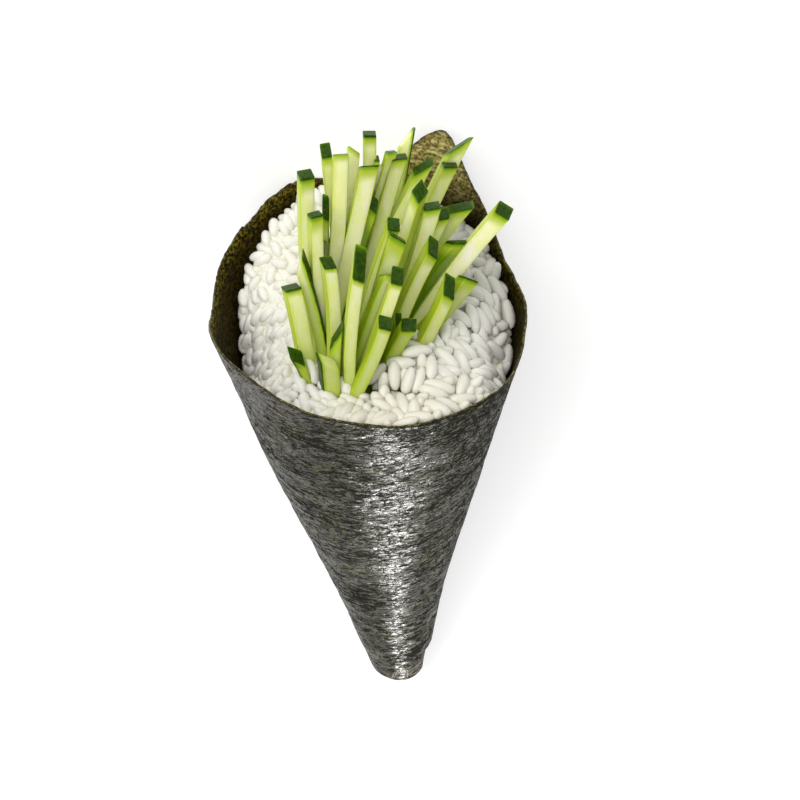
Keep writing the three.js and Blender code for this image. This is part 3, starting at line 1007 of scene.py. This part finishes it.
def cucumberFinish():
    look = Finish("cucumberFinish", {
        "Subsurface Weight": 0.6, "Subsurface Radius": (0.9, 1.0, 0.4),
        "Subsurface Scale": 0.0022, "IOR": 1.34, "Specular IOR Level": 0.25,
    })
    where = look.place()
    along = look.node("Mapping", {}, {"Vector": where, "Scale": (3.2, 1, 1.2)})
    streak = look.noise(along, 260, detail=4, roughness=0.6)
    speck = look.noise(where, 1500, detail=3)
    patch = look.noise(where, 420, detail=2)
    # greener along the corners and where a stick's flesh is greener; greener at the foot and on the
    # side faces as painted shade
    faceX = look.maths("ABSOLUTE", look.attribute("faceX"))
    faceY = look.maths("ABSOLUTE", look.attribute("faceY"))
    corner = look.maths("MINIMUM", faceX, faceY)
    foot = 1 - look.attribute("height").ramp(0, 27)
    green = look.attribute("green")
    greenAndShade = corner ** 3 * 0.5 + foot * 0.45 + green * 0.6
    greenAndShade = greenAndShade + faceX.ramp(0.86, 0.98) * 0.58 + 0.18
    heart = look.mix(streak.ramp(0.3, 0.7), *cucumber["heartTones"])
    flesh = look.mix(greenAndShade, heart, look.mix(green, *cucumber["outerTones"]))
    # from the end down: skin, the dark band under it, then flesh
    pastSkin = look.attribute("below") + (patch - 0.5) * 0.4 - look.attribute("skin")
    inBand = pastSkin / look.attribute("band")
    band = look.mix(inBand.ramp(0, 0.6), *cucumber["bandTones"])
    body = look.mix(inBand.ramp(0.4, 2), band, flesh)
    skin = look.mix(speck.ramp(0.35, 0.65), *cucumber["skinTones"])
    isSkin = 1 - pastSkin.ramp(-0.1, 0.15)
    tone = look.mix(isSkin, body, skin)
    rough = 0.4 - isSkin * 0.08 + streak * 0.1
    grain = look.bump(streak * 0.04 + speck * 0.02)
    return look.feed({"Base Color": tone, "Roughness": rough, "Normal": grain})


studio = {
    "cameraPlace": (0, -0.305, 0.6403),
    "aim": (-0.00506, 0.00105, 0.01064),
    "roll": math.radians(174.52),
    "lens": 155,
    "floorTone": (0.7, 0.7, 0.7),
    "glowTone": (1, 1, 1),
    "floorGlow": 0.36,
    "floorSize": 0.4,
    "skyTone": (1, 1, 1),
    "skyStrength": 0.46,
    "lights": {
        # name: place, aim, width, height, power, tone
        "keyLight": ((0.6, -0.3, 0.8), (0, -0.02, 0.03), 0.5, 0.5, 3, (1, 0.99, 0.97)),
        "topLight": ((0.12, -0.65, 0.9), (0, -0.04, 0.03), 0.7, 0.7, 4, (1, 0.99, 0.97)),
        "mouthLight": ((0.1, -1, 0.45), (0, -0.04, 0.03), 1.5, 0.6, 2.8, (1, 0.99, 0.97)),
        "streakLight": ((-0.08, 0.8, 0.12), (0, 0.02, 0.03), 0.18, 0.18, 11, (1, 0.99, 1)),
    },
}


def makeFloor():
    bm = bmesh.new()
    bmesh.ops.create_grid(bm, x_segments=1, y_segments=1, size=studio["floorSize"])
    mesh = bpy.data.meshes.new("floor")
    bm.to_mesh(mesh)
    bm.free()
    floor = bpy.data.objects.new("floor", mesh)
    bpy.context.scene.collection.objects.link(floor)
    mesh.materials.append(Finish("floorFinish", {
        "Base Color": studio["floorTone"], "Roughness": 0.9,
        "Emission Color": studio["glowTone"], "Emission Strength": studio["floorGlow"],
    }).material)


def addAimed(name, data, place, target):
    obj = bpy.data.objects.new(name, data)
    bpy.context.scene.collection.objects.link(obj)
    obj.location = place
    way = Vector(target) - Vector(place)
    obj.rotation_euler = way.to_track_quat("-Z", "Y").to_euler()
    return obj


def makeLights():
    for name, (place, target, width, height, power, tone) in studio["lights"].items():
        light = bpy.data.lights.new(name, "AREA")
        light.shape = "RECTANGLE"
        light.size = width
        light.size_y = height
        light.energy = power
        light.color = tone
        addAimed(name, light, place, target)
    world = bpy.data.worlds.new("studioSky")
    world.use_nodes = True
    sky = world.node_tree.nodes["Background"]
    sky.inputs["Color"].default_value = (*studio["skyTone"], 1)
    sky.inputs["Strength"].default_value = studio["skyStrength"]
    bpy.context.scene.world = world


def makeCamera():
    data = bpy.data.cameras.new("camera")
    data.lens = studio["lens"]
    data.clip_end = 10
    camera = addAimed("camera", data, studio["cameraPlace"], studio["aim"])
    camera.rotation_euler.rotate_axis("Z", studio["roll"])
    bpy.context.scene.camera = camera


bpy.context.scene.view_settings.view_transform = "Standard"
makeFloor()
makeLights()
makeCamera()
print("studio ready")
noriWrap()
riceCore()
riceGrains()
cucumberSticks()
